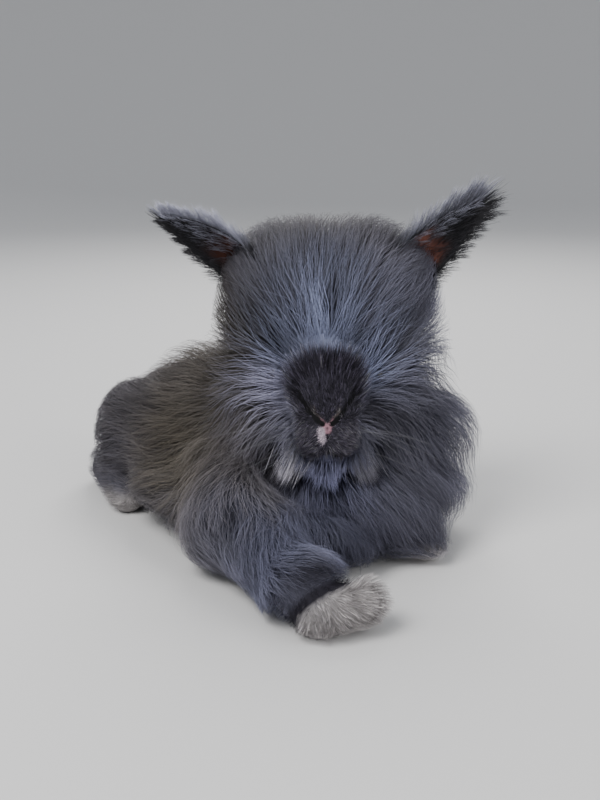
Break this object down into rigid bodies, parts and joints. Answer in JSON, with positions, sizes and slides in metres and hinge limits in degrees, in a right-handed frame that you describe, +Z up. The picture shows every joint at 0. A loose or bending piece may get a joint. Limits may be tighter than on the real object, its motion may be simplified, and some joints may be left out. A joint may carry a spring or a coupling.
{
  "type": "english angora rabbit figure",
  "caption": "Life-size still model of a young long-haired rabbit lying on its belly, head turned aside, tufted ears out and one foreleg stretched forward.",
  "frame": {"origin": "middle of the box, on the floor it lies on", "axes": "+Z up; the face looks along -Y; the rabbit's left side is +X, and the body runs back and to its right"},
  "size_m": [0.2174, 0.266, 0.1729],
  "materials": {
    "coat": "long soft wool, smoke grey",
    "leg_coat": "soft wool, smoke grey, with tan soles",
    "ear_skin": "thin bare skin inside, short fur behind",
    "eye": "wet gloss"
  },
  "bodies": {
    "root": {"head": "coat", "neck": "coat", "torso": "coat", "tail": "coat", "foreleg_left": "leg_coat", "foreleg_right": "leg_coat", "hindleg_left": "leg_coat", "hindleg_right": "leg_coat", "ear_left": "ear_skin", "ear_right": "ear_skin", "eye_left": "eye", "eye_right": "eye"}
  },
  "joints": []
}
